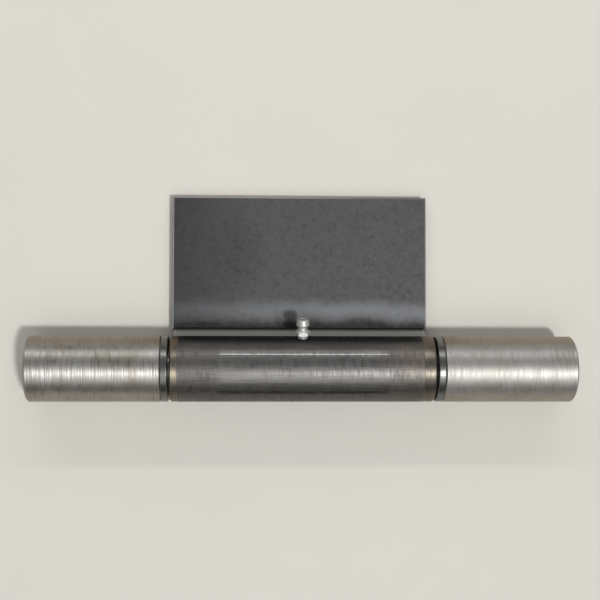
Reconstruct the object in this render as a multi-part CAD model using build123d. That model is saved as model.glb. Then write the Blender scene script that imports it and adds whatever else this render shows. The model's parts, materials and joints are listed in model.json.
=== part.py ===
from build123d import *

import math
import os

# A weld on barrel hinge, in millimetres.
# Two outer barrels are fixed on one pin and are welded to the post or frame.
# Between them a centre barrel turns on the pin. It is greased through a
# nipple at mid-length, and a flat wing plate is welded along its side.
# X runs along the hinge line, +Y points from the hinge line to the wing plate,
# and +Z is up from it. The origin is on the hinge line at mid-length.

# ---------------------------------------------------------------- sizes

INCH = 25.4

# Barrels and pin
barrel_diameter = 1.25 * INCH
pin_diameter = 0.75 * INCH
centre_barrel_length = 5.0 * INCH
outer_barrel_length = 2.5 * INCH
barrel_end_chamfer = 0.8
bore_chamfer = 0.6
pin_end_chamfer = 1.0
pin_recess = 0.5

# The bands at the centre barrel's ends, turned bright just under the scale
turned_depth = 0.1
left_turned_band = 3.8
right_turned_band = 5.9

# Thrust washers, one at each end of the centre barrel
washer_thickness = 3.5
washer_diameter = barrel_diameter - 0.2
washer_chamfer = 0.35
end_gap = 0.7
washer_seat_gap = 0.05

# Running fits on the pin, measured on the radius
barrel_running_clearance = 0.08
washer_running_clearance = 0.10

# Wing plate
plate_thickness = 0.25 * INCH
plate_length = 4.9375 * INCH
plate_left_setback = 0.1
plate_reach = 84.6
plate_edge_break = 0.4
root_gap = 0.5

# Weld beads between the plate's inner edge and the centre barrel
upper_weld_leg = 6.9
upper_weld_bulge = 0.7
weld_setback = 1.7
upper_weld_end_radius = 2.4
lower_weld_end_radius = 1.2
lower_weld_recess = 0.8
lower_weld_sag = 0.5
lower_weld_toe_angle = -62.0

# Grease nipple, leaning from straight up towards the wing
nipple_lean = 73.0
thread_radius = 2.55
thread_exposed = 1.4
thread_engaged = 3.2
thread_end_chamfer = 0.5
hex_across_flats = 7.0
hex_height = 2.5
hex_seat_radius = 3.0
hex_seat_chamfer = 0.45
hex_shoulder_radius = 2.9
hex_shoulder_drop = 1.2
neck_radius = 2.3
neck_length = 1.4
head_radius = 3.25
head_widest_start = 2.3
head_widest_end = 2.7
head_top_radius = 2.85
head_length = 5.2
dish_radius = 1.6
dish_depth = 0.45
throat_radius = 1.0
spotface_radius = 3.4
spotface_depth = 0.3

# Check ball and spring inside the nipple
ball_radius = 1.19
ball_side_clearance = 0.10
ball_seat_clearance = 0.10
chamber_length = 7.6
spring_wire_radius = 0.18
spring_coil_radius = 0.85
spring_coils = 4
spring_wire_sides = 6
spring_end_clearance = 0.05
passage_radius = 0.7
grease_hole_radius = 1.5

# ---------------------------------------------------------------- worked out

barrel_radius = barrel_diameter / 2
pin_radius = pin_diameter / 2
half_centre = centre_barrel_length / 2
washer_start = half_centre + end_gap
washer_end = washer_start + washer_thickness
outer_start = washer_end + washer_seat_gap
outer_end = outer_start + outer_barrel_length

underside_z = -barrel_radius
plate_top_z = underside_z + plate_thickness
plate_inner_y = math.sqrt(barrel_radius**2 - plate_top_z**2) + root_gap
plate_middle_x = plate_length / 2 + plate_left_setback - half_centre
weld_length = plate_length - 2 * weld_setback

hex_base = barrel_radius + thread_exposed
hex_top = hex_base + hex_height
nipple_tip = hex_top + head_length
shank_end = barrel_radius - thread_engaged
chamber_radius = ball_radius + ball_side_clearance
chamber_floor = nipple_tip - chamber_length
throat_height = nipple_tip - dish_depth
ball_sink = math.sqrt(ball_radius**2 - throat_radius**2)
ball_height = throat_height - ball_sink - ball_seat_clearance

# Turns a piece built upright on the hinge line into the nipple's place
nipple_place = Rot(-nipple_lean, 0, 0)


def turned_on_hinge_line(outline):
    """A solid turned about the hinge line from (x, radius) points."""
    section = make_face(Polyline(*outline, close=True))
    return revolve(section, Axis.X)


def turned_upright(outline):
    """A solid turned about Z from (radius, height) points."""
    section = Plane.XZ * make_face(Polyline(*outline, close=True))
    return revolve(section, Axis.Z)


def on_barrel(angle):
    """The point (y, z) on the barrel's outside at an angle in degrees from +Y."""
    turn = math.radians(angle)
    return (barrel_radius * math.cos(turn), barrel_radius * math.sin(turn))


def angle_on_barrel(z):
    """The angle from +Y, in degrees, at which the barrel's side has height z."""
    return math.degrees(math.asin(z / barrel_radius))


# ---------------------------------------------------------------- barrels


def outer_barrel(side):
    """One fixed barrel, with side -1 at the left and 1 at the right."""
    bore = pin_radius
    outline = [
        (outer_start, bore + bore_chamfer),
        (outer_start, barrel_radius - barrel_end_chamfer / 2),
        (outer_start + barrel_end_chamfer / 2, barrel_radius),
        (outer_end - barrel_end_chamfer, barrel_radius),
        (outer_end, barrel_radius - barrel_end_chamfer),
        (outer_end, bore + bore_chamfer),
        (outer_end - bore_chamfer, bore),
        (outer_start + bore_chamfer, bore),
    ]
    return turned_on_hinge_line([(side * x, radius) for x, radius in outline])


def hinge_pin():
    """The pin through all three barrels, just short of their ends."""
    end = outer_end - pin_recess
    outline = [
        (-end, 0),
        (-end, pin_radius - pin_end_chamfer),
        (-end + pin_end_chamfer, pin_radius),
        (end - pin_end_chamfer, pin_radius),
        (end, pin_radius - pin_end_chamfer),
        (end, 0),
    ]
    return turned_on_hinge_line(outline)


def thrust_washer(side):
    """A flat ring, loose on the pin between an outer barrel and the centre one."""
    bore = pin_radius + washer_running_clearance
    radius = washer_diameter / 2
    outline = [
        (washer_start, bore),
        (washer_start, radius - washer_chamfer),
        (washer_start + washer_chamfer, radius),
        (washer_end - washer_chamfer, radius),
        (washer_end, radius - washer_chamfer),
        (washer_end, bore),
    ]
    return turned_on_hinge_line([(side * x, r) for x, r in outline])


def nipple_hole():
    """The tapped hole, its spotface and the grease hole on to the bore."""
    above = barrel_radius + thread_exposed
    outline = [
        (0, 0),
        (grease_hole_radius, 0),
        (grease_hole_radius, shank_end - thread_end_chamfer),
        (thread_radius, shank_end - thread_end_chamfer),
        (thread_radius, barrel_radius - spotface_depth),
        (spotface_radius, barrel_radius - spotface_depth),
        (spotface_radius, above),
        (0, above),
    ]
    return nipple_place * turned_upright(outline)


def centre_barrel():
    """The turning barrel: scaled in the middle, turned bright at both ends."""
    bore = pin_radius + barrel_running_clearance
    bright = barrel_radius - turned_depth
    left_band = -half_centre + left_turned_band
    right_band = half_centre - right_turned_band
    outline = [
        (-half_centre, bore + bore_chamfer),
        (-half_centre, bright - barrel_end_chamfer),
        (-half_centre + barrel_end_chamfer, bright),
        (left_band, bright),
        (left_band + turned_depth, barrel_radius),
        (right_band - turned_depth, barrel_radius),
        (right_band, bright),
        (half_centre - barrel_end_chamfer, bright),
        (half_centre, bright - barrel_end_chamfer),
        (half_centre, bore + bore_chamfer),
        (half_centre - bore_chamfer, bore),
        (-half_centre + bore_chamfer, bore),
    ]
    return turned_on_hinge_line(outline) - nipple_hole()


# ---------------------------------------------------------------- wing plate


def wing_plate():
    """The flat plate, its underside level with the barrels' underside."""
    width = plate_reach - plate_inner_y
    middle_y = plate_inner_y + width / 2
    middle = (plate_middle_x, middle_y, underside_z + plate_thickness / 2)
    plate = Pos(*middle) * Box(plate_length, width, plate_thickness)
    return chamfer(plate.edges(), plate_edge_break)


def weld_bead(sides, end_radius):
    """A bead along the barrel. Its last side is its face, rounded off at both ends."""
    bead = extrude(Plane.YZ * make_face(sides), amount=weld_length / 2, both=True)
    face_middle = sides[-1] @ 0.5
    arcs = bead.edges().filter_by(GeomType.CIRCLE)
    ends = [(side * weld_length / 2, face_middle.X, face_middle.Y) for side in (-1, 1)]
    rounded = fillet([arcs.sort_by_distance(end)[0] for end in ends], end_radius)
    return Pos(plate_middle_x, 0, 0) * rounded


def upper_weld():
    """The fillet weld that shows, between the barrel's side and the plate's top."""
    toe = (plate_inner_y + upper_weld_leg, plate_top_z)
    crown_angle = angle_on_barrel(plate_top_z + upper_weld_leg)
    root_angle = angle_on_barrel(plate_top_z)
    crown = on_barrel(crown_angle)
    root = on_barrel(root_angle)
    slope = math.atan2(crown[1] - toe[1], crown[0] - toe[0])
    bulge = (
        (crown[0] + toe[0]) / 2 + upper_weld_bulge * math.sin(slope),
        (crown[1] + toe[1]) / 2 - upper_weld_bulge * math.cos(slope),
    )
    against_barrel = ThreePointArc(crown, on_barrel((crown_angle + root_angle) / 2), root)
    face = ThreePointArc(toe, bulge, crown)
    return weld_bead([against_barrel, Line(root, toe), face], upper_weld_end_radius)


def lower_weld():
    """The weld in the groove under the plate's inner edge, short of the underside."""
    root_angle = angle_on_barrel(plate_top_z)
    root = on_barrel(root_angle)
    toe = on_barrel(lower_weld_toe_angle)
    plate_root = (plate_inner_y, plate_top_z)
    plate_toe = (plate_inner_y, underside_z + lower_weld_recess)
    sag = ((toe[0] + plate_toe[0]) / 2, (toe[1] + plate_toe[1]) / 2 + lower_weld_sag)
    against_barrel = ThreePointArc(toe, on_barrel((lower_weld_toe_angle + root_angle) / 2), root)
    face = ThreePointArc(plate_toe, sag, toe)
    sides = [against_barrel, Line(root, plate_root), Line(plate_root, plate_toe), face]
    return weld_bead(sides, lower_weld_end_radius)


# ---------------------------------------------------------------- grease nipple


def nipple_body():
    """The nipple: tapped shank, hexagon, neck and the head a grease gun grips."""
    outline = [
        (passage_radius, shank_end),
        (thread_radius - thread_end_chamfer, shank_end),
        (thread_radius, shank_end + thread_end_chamfer),
        (thread_radius, hex_base),
        (neck_radius, hex_base),
        (neck_radius, hex_top + neck_length),
        (head_radius, hex_top + head_widest_start),
        (head_radius, hex_top + head_widest_end),
        (head_top_radius, nipple_tip),
        (dish_radius, nipple_tip),
        (throat_radius, throat_height),
        (chamber_radius, throat_height - (chamber_radius - throat_radius)),
        (chamber_radius, chamber_floor),
        (passage_radius, chamber_floor),
    ]
    turned = turned_upright(outline)

    corner = hex_across_flats / 2 / math.cos(math.radians(30))
    hexagon = Pos(0, 0, hex_base) * extrude(RegularPolygon(corner, 6), amount=hex_height)
    chamfered = turned_upright(
        [
            (neck_radius, hex_base),
            (hex_seat_radius, hex_base),
            (corner, hex_base + hex_seat_chamfer),
            (corner, hex_top - hex_shoulder_drop),
            (hex_shoulder_radius, hex_top),
            (neck_radius, hex_top),
        ]
    )
    return nipple_place * (turned + (hexagon & chamfered))


def nipple_ball():
    """The check ball, held up against the throat by the spring."""
    return nipple_place * Pos(0, 0, ball_height) * Sphere(ball_radius)


def nipple_spring():
    """The coil spring between the ball and the floor of its chamber.

    Its fine round wire is six-sided, to keep its faces few.
    """
    reach = ball_radius + spring_wire_radius + spring_end_clearance
    bottom = chamber_floor + spring_wire_radius + spring_end_clearance
    top = ball_height - math.sqrt(reach**2 - spring_coil_radius**2)
    height = top - bottom
    coil = Helix(height / spring_coils, height, spring_coil_radius)
    wire = Plane(origin=coil @ 0, z_dir=coil % 0) * RegularPolygon(
        spring_wire_radius, spring_wire_sides
    )
    return nipple_place * Pos(0, 0, bottom) * sweep(wire, path=coil, is_frenet=True)


# ---------------------------------------------------------------- pieces

pieces = {
    "left_barrel": outer_barrel(-1),
    "right_barrel": outer_barrel(1),
    "hinge_pin": hinge_pin(),
    "left_thrust_washer": thrust_washer(-1),
    "right_thrust_washer": thrust_washer(1),
    "centre_barrel": centre_barrel(),
    "wing_plate": wing_plate(),
    "upper_weld": upper_weld(),
    "lower_weld": lower_weld(),
    "nipple_body": nipple_body(),
    "nipple_ball": nipple_ball(),
    "nipple_spring": nipple_spring(),
}

os.makedirs("parts", exist_ok=True)
for name, piece in pieces.items():
    export_step(piece, "parts/" + name + ".step")
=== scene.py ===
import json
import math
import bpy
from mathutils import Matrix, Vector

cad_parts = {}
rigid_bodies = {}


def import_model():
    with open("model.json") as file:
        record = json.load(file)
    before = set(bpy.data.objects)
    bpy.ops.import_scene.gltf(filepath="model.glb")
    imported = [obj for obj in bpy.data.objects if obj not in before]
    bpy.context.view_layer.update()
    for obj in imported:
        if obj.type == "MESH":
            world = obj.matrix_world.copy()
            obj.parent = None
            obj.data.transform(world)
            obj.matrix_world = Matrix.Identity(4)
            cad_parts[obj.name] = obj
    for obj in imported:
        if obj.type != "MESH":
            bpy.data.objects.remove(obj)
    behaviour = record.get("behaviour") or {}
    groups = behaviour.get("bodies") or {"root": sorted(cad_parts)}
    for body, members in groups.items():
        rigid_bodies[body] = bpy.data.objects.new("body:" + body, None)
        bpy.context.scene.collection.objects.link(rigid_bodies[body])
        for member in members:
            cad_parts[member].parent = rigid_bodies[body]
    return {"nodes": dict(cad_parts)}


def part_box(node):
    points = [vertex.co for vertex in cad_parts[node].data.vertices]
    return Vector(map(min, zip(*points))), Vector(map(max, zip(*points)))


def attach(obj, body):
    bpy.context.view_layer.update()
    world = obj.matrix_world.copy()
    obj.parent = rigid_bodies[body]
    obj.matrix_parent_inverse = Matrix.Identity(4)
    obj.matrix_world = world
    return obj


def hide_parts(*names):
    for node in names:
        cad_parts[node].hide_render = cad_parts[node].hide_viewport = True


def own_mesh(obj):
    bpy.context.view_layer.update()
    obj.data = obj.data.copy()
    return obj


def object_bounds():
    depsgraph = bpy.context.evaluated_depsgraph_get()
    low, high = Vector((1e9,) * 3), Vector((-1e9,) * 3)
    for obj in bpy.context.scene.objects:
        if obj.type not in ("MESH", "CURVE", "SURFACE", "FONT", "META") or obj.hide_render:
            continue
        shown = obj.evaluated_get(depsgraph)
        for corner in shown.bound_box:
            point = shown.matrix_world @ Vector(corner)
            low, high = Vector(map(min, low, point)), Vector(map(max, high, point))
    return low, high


bl_info = {
    "name": "Weld On Barrel Hinge",
    "version": (1, 0, 0),
    "blender": (4, 5, 0),
    "location": "View3D > Sidebar > Barrel Hinge",
    "description": "Dresses the packed barrel hinge in turned, rolled, welded and plated steel",
    "category": "Mesh",
}

from functools import partial
from math import radians

import bmesh
import bpy
from mathutils import Matrix, Vector, noise

MM = 0.001

for leftover in list(bpy.data.objects):
    bpy.data.objects.remove(leftover)
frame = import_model()
CAD_BOX = [list(corner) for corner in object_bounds()]

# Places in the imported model, in metres
LEFT_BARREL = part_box("left_barrel")
RIGHT_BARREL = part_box("right_barrel")
CENTRE_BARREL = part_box("centre_barrel")
LEFT_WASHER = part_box("left_thrust_washer")
RIGHT_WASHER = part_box("right_thrust_washer")
HINGE_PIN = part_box("hinge_pin")
WING_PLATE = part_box("wing_plate")
LOWER_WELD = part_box("lower_weld")
FLOOR_Z = CAD_BOX[0][2]
BARREL_RADIUS = -CAD_BOX[0][1]
PIN_RADIUS = HINGE_PIN[1][2]


# ---- colours and nodes

# A range that eases in and out
EASED = {"interpolation_type": "SMOOTHSTEP"}
# Most of a noise's values lie between these
MOST_NOISE = {"From Min": 0.3, "From Max": 0.7}


def linear(code):
    """A linear colour from an sRGB hex value such as #8C8880."""
    shares = [int(code[i : i + 2], 16) / 255 for i in (1, 3, 5)]
    return [s / 12.92 if s <= 0.04045 else ((s + 0.055) / 1.055) ** 2.4 for s in shares]


def add_node(tree, kind, inputs=(), **settings):
    """A new shader node with its settings.

    The inputs come by name, or in the order of the sockets in use. Each is a
    plain value, or a socket or node to link from. A node gives its first output
    in use.
    """
    node = tree.nodes.new("ShaderNode" + kind)
    for name, value in settings.items():
        setattr(node, name, value)
    if isinstance(inputs, dict):
        pairs = [(node.inputs[name], value) for name, value in inputs.items()]
    else:
        pairs = zip([socket for socket in node.inputs if socket.enabled], inputs)
    for socket, value in pairs:
        if isinstance(value, bpy.types.Node):
            value = next(output for output in value.outputs if output.enabled)
        if isinstance(value, bpy.types.NodeSocket):
            tree.links.new(value, socket)
        else:
            socket.default_value = value
    return node


def begin_material(name):
    """An empty node material, what adds a node to it, and its place on the object."""
    material = bpy.data.materials.new(name)
    material.use_nodes = True
    material.node_tree.nodes.clear()
    add = partial(add_node, material.node_tree)
    return material, add, add("TexCoord").outputs["Object"]


def finish_material(material, surface):
    """Gives the material a surface from a principled shader's inputs."""
    shader = add_node(material.node_tree, "BsdfPrincipled", surface)
    add_node(material.node_tree, "OutputMaterial", {"Surface": shader})
    return material


def stretched_noise(add, place, lengths, detail, roughness=0.5):
    """Noise stretched to the given lengths along X, Y and Z."""
    scale = [1 / reach for reach in lengths]
    stretched = add("Mapping", {"Vector": place, "Scale": scale})
    return add("TexNoise", {"Vector": stretched, "Scale": 1.0, "Detail": detail, "Roughness": roughness})


def band(add, value, middle, near, far):
    """1 where a value is within near of the middle, fading to 0 at far from it."""
    off = add("Math", [value, middle], operation="SUBTRACT")
    off = add("Math", [off], operation="ABSOLUTE")
    return add("MapRange", {
        "Value": off, "From Min": near, "From Max": far, "To Min": 1.0, "To Max": 0.0,
    }, **EASED)


def rgba(colour, share=1.0):
    """A colour with its alpha, darkened or lightened to a share of itself."""
    return [min(1.0, c * share) for c in colour] + [1.0]


# ---- sizes and colours


def length(name, description, default, low, high):
    """A length in metres."""
    return bpy.props.FloatProperty(
        name=name, description=description, default=default, min=low, max=high,
        subtype="DISTANCE", unit="LENGTH",
    )


def tint(name, description, code):
    """A colour, from its sRGB hex value."""
    return bpy.props.FloatVectorProperty(
        name=name, description=description, default=linear(code), subtype="COLOR"
    )


class HingeSizes(bpy.types.PropertyGroup):
    """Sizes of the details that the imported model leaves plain."""

    turned_edge: length(
        "Turned edge radius", "Rounding of the edges that the lathe tool left",
        0.15 * MM, 0.02 * MM, 0.4 * MM,
    )
    plate_edge: length(
        "Plate edge radius", "Rounding of the wing plate's edges", 0.3 * MM, 0.1 * MM, 1.0 * MM
    )
    plate_wander: length(
        "Plate edge wander", "How far the cut edges of the wing plate wander inwards",
        0.12 * MM, 0.0, 0.5 * MM,
    )
    weld_ripple: length(
        "Weld ripple", "Height of the ripples on the weld bead's face", 0.05 * MM, 0.0, 0.3 * MM
    )
    weld_ripple_pitch: length(
        "Weld ripple pitch", "Distance from one ripple of the weld bead to the next",
        1.7 * MM, 0.8 * MM, 4.0 * MM,
    )
    thread_pitch: length(
        "Nipple thread pitch", "Pitch of the fine thread below the nipple's hexagon",
        0.907 * MM, 0.5 * MM, 1.5 * MM,
    )
    thread_depth: length(
        "Nipple thread depth", "Depth of the fine thread below the nipple's hexagon",
        0.22 * MM, 0.1 * MM, 0.6 * MM,
    )


class HingeColours(bpy.types.PropertyGroup):
    """Colours of the metals and of the floor."""

    turned_steel: tint("Turned steel", "Bare steel of the outer barrels", "#B3B1AD")
    polished_steel: tint("Polished steel", "Hard steel of the washers and the check ball", "#7C7C79")
    ground_steel: tint("Ground steel", "Ground steel of the hinge pin", "#B9B7B2")
    tube_scale: tint("Tube scale", "Mill scale on the centre barrel", "#6B6967")
    plate_scale: tint("Plate scale", "Mill scale on the wing plate", "#2E2E2E")
    tube_end: tint(
        "Turned tube end", "Bare steel of the bands turned at the centre barrel's ends", "#69645D"
    )
    weld_metal: tint("Weld metal", "Oxide film on the weld beads", "#93948D")
    rust: tint("Rust tint", "First light rust beside the washers", "#8E7967")
    zinc: tint("Zinc", "Bright zinc plating of the nipple", "#C9C9C6")
    floor: tint("Floor", "Pale floor under the hinge", "#D8D4CB")


def chosen(context):
    """The sizes and colours set in the panel."""
    return context.scene.hinge_sizes, context.scene.hinge_colours


# ---- materials


def turned_steel_material(name, colour, flank_reflection, rust, feed, blotch, soiling, gloss, ringing, cut):
    """Mild steel turned on a lathe.

    The tool's feed leaves rings round the barrel, which spread each highlight
    along it and break it into sparkles, and keep it narrow round the barrel. The
    real feed of about 0.2 mm is too fine to show, so the rings are drawn at the
    given feed and depth of cut. Blotches are where oil dried on the freshly turned metal.
    The flanks carry a painted reflection in a warmer grey, with a first light
    rust near the washers.
    """
    material, add, place = begin_material(name)
    axes = add("SeparateXYZ", {"Vector": place}).outputs
    turn = add("Math", [axes["Y"], axes["Z"]], operation="ARCTAN2")
    rings = stretched_noise(add, place, (feed, 40 * feed, 40 * feed), 3.0, 0.65)
    # Short dark strokes, where soil lies in the rings
    stroke_noise = stretched_noise(add, place, (0.9 * MM, 9 * MM, 9 * MM), 4.0, 0.7)
    stroke = add("MapRange", {
        "Value": stroke_noise, "From Min": 0.54, "From Max": 0.72, "To Max": soiling,
    }, **EASED)
    patches = add("TexNoise", {"Vector": place, "Scale": 1 / (11 * MM), "Detail": 5.0, "Roughness": 0.6})
    patch = add("MapRange", {"Value": patches, "From Min": 0.35, "From Max": 0.7, "To Max": blotch})
    oiled = add("Mix", [patch, rgba(colour), rgba(linear("#91897A"))], data_type="RGBA")
    # Painted reflection: both flanks, towards the wing and the free side, take a warmer grey
    wing_flank = add("MapRange", {
        "Value": turn, "From Min": radians(40), "From Max": radians(58),
    }, **EASED)
    free_flank = add("MapRange", {
        "Value": turn, "From Min": radians(-60), "From Max": radians(-40), "To Min": 0.45, "To Max": 0.0,
    }, **EASED)
    flank = add("Math", [wing_flank, free_flank], operation="MAXIMUM")
    flank_reflected = add("Mix", [flank, oiled, rgba(linear(flank_reflection))], data_type="RGBA")
    off_middle = add("Math", [axes["X"]], operation="ABSOLUTE")
    near_washer = add("MapRange", {
        "Value": off_middle, "From Min": RIGHT_BARREL[0][0], "From Max": RIGHT_BARREL[0][0] + 16 * MM,
        "To Min": 1.0, "To Max": 0.0,
    })
    rusting = add("Math", [near_washer, flank], operation="MULTIPLY")
    rusting = add("Math", [rusting, patches], operation="MULTIPLY")
    flank_reflected = add("Mix", [rusting, flank_reflected, rgba(rust)], data_type="RGBA")
    marked = add("Mix", [stroke, flank_reflected, rgba(colour, 0.22)], data_type="RGBA")
    ringed = add("MapRange", {
        "Value": rings, **MOST_NOISE, "To Min": gloss - 0.06, "To Max": gloss + 0.06,
    })
    bump = add("Bump", {"Height": rings, "Distance": cut})
    round_barrel = add("Tangent", direction_type="RADIAL", axis="X")
    return finish_material(material, {
        "Base Color": marked, "Metallic": 1.0, "Roughness": ringed, "Anisotropic": ringing,
        "Anisotropic Rotation": 0.25, "Tangent": round_barrel, "Normal": bump,
    })


def polished_steel_material(colour):
    """Hardened steel, ground and polished.

    It mirrors the room in sharp bands, broken only by hair-fine rings from the
    polishing, drawn at 0.5 mm so that they show.
    """
    material, add, place = begin_material("Polished hard steel")
    rings = stretched_noise(add, place, (0.5 * MM, 20 * MM, 20 * MM), 2.0)
    smear_and_dark_reflection = add("TexNoise", {"Vector": place, "Scale": 1 / (5 * MM), "Detail": 3.0, "Roughness": 0.6})
    tone = add("Mix", [smear_and_dark_reflection, rgba(colour), rgba(colour, 0.72)], data_type="RGBA")
    gloss = add("MapRange", {"Value": smear_and_dark_reflection, "To Min": 0.24, "To Max": 0.34})
    bump = add("Bump", {"Height": rings, "Strength": 0.3, "Distance": 0.01 * MM})
    return finish_material(material, {
        "Base Color": tone, "Metallic": 1.0, "Roughness": gloss, "Normal": bump,
    })


def ground_steel_material(colour):
    """Bright steel bar, centreless ground, with a fine satin grain round it."""
    material, add, place = begin_material("Centreless ground steel")
    grain = stretched_noise(add, place, (0.4 * MM, 6 * MM, 6 * MM), 3.0)
    tone = add("Mix", [grain, rgba(colour), rgba(colour, 0.7)], data_type="RGBA")
    gloss = add("MapRange", {"Value": grain, "To Min": 0.18, "To Max": 0.36})
    bump = add("Bump", {"Height": grain, "Strength": 0.4, "Distance": 0.01 * MM})
    return finish_material(material, {
        "Base Color": tone, "Metallic": 1.0, "Roughness": gloss, "Normal": bump,
    })


def tube_scale_material(colour, rust):
    """Seamless tube with its mill scale on.

    The scale is a thin dark skin with a dull sheen. Drawing left faint streaks
    along the tube. Round mid-length it was rubbed smoother, where highlights
    draw in to thin lines. Light rust tints it towards the right-hand end.
    """
    material, add, place = begin_material("Mill-scaled steel tube")
    axes = add("SeparateXYZ", {"Vector": place}).outputs
    streaks = stretched_noise(add, place, (13 * MM, 0.7 * MM, 0.7 * MM), 3.0, 0.6)
    rings = stretched_noise(add, place, (1.1 * MM, 9 * MM, 9 * MM), 3.0, 0.6)
    cloud = add("TexNoise", {"Vector": place, "Scale": 1 / (14 * MM), "Detail": 5.0, "Roughness": 0.62})
    # How far round the tube, in radians from straight up towards the wing
    turn = add("Math", [axes["Y"], axes["Z"]], operation="ARCTAN2")
    ragged = add("MapRange", {"Value": cloud, "To Min": -7 * MM, "To Max": 7 * MM})
    along = add("Math", [axes["X"], ragged], operation="ADD")
    rubbed_along = band(add, along, 0.0, 38 * MM, 42 * MM)
    rubbed_round = band(add, turn, radians(-2), radians(36), radians(44))
    rubbed = add("Math", [rubbed_along, rubbed_round], operation="MULTIPLY")
    mottle = add("MapRange", {"Value": cloud, **MOST_NOISE})
    scaled = add("Mix", [mottle, rgba(colour, 0.82), rgba(colour, 1.12)], data_type="RGBA")
    streaked = add("MapRange", {"Value": streaks, "From Min": 0.46, "From Max": 0.7, "To Max": 0.6})
    lined = add("Mix", [streaked, scaled, rgba(colour, 0.5)], data_type="RGBA")
    hatched = add("MapRange", {"Value": rings, "From Min": 0.5, "From Max": 0.68, "To Max": 0.16})
    lined = add("Mix", [hatched, lined, rgba(colour, 0.4)], data_type="RGBA")
    # Dark band along the free side at the rubbed patch's lower edge: partly smears where the rubbing
    # stopped, partly a painted reflection of the dark room low down
    dark_band_round = band(add, turn, radians(-43), radians(1), radians(5.5))
    dark_band_broken = add(
        "MapRange", {"Value": cloud, "From Min": 0.36, "From Max": 0.52, "To Min": 0.2, "To Max": 0.85}
    )
    smear_and_dark_reflection = add("Math", [dark_band_round, dark_band_broken], operation="MULTIPLY")
    smear_and_dark_reflection = add("Math", [smear_and_dark_reflection, rubbed_along], operation="MULTIPLY")
    lined = add("Mix", [smear_and_dark_reflection, lined, rgba(colour, 0.2)], data_type="RGBA")
    to_right = add("MapRange", {
        "Value": axes["X"], "From Min": 30 * MM, "From Max": 60 * MM, "To Max": 0.35,
    }, **EASED)
    rusted = add("Math", [to_right, mottle], operation="MULTIPLY")
    tinted = add("Mix", [rusted, lined, rgba(rust)], data_type="RGBA")
    # Painted shade on the side next to the bead, where the tube meets the weld
    painted_crease_shade = add("MapRange", {
        "Value": turn, "From Min": radians(43), "From Max": radians(66), "To Max": 0.88,
    }, **EASED)
    joint_darkened = add("Mix", [painted_crease_shade, tinted, rgba(colour, 0.08)], data_type="RGBA")
    dull = add("MapRange", {"Value": rings, **MOST_NOISE, "To Min": 0.36, "To Max": 0.56})
    smooth = add("MapRange", {"Value": rings, **MOST_NOISE, "To Min": 0.3, "To Max": 0.52})
    roughness = add("Mix", [rubbed, dull, smooth])
    height = add("Math", [rings, streaks], operation="ADD")
    bump = add("Bump", {"Height": height, "Strength": 0.6, "Distance": 0.07 * MM})
    return finish_material(material, {
        "Base Color": joint_darkened, "Metallic": 1.0, "Roughness": roughness, "Normal": bump,
        "Coat Weight": rubbed, "Coat Roughness": 0.09, "Coat IOR": 1.55,
    })


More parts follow.
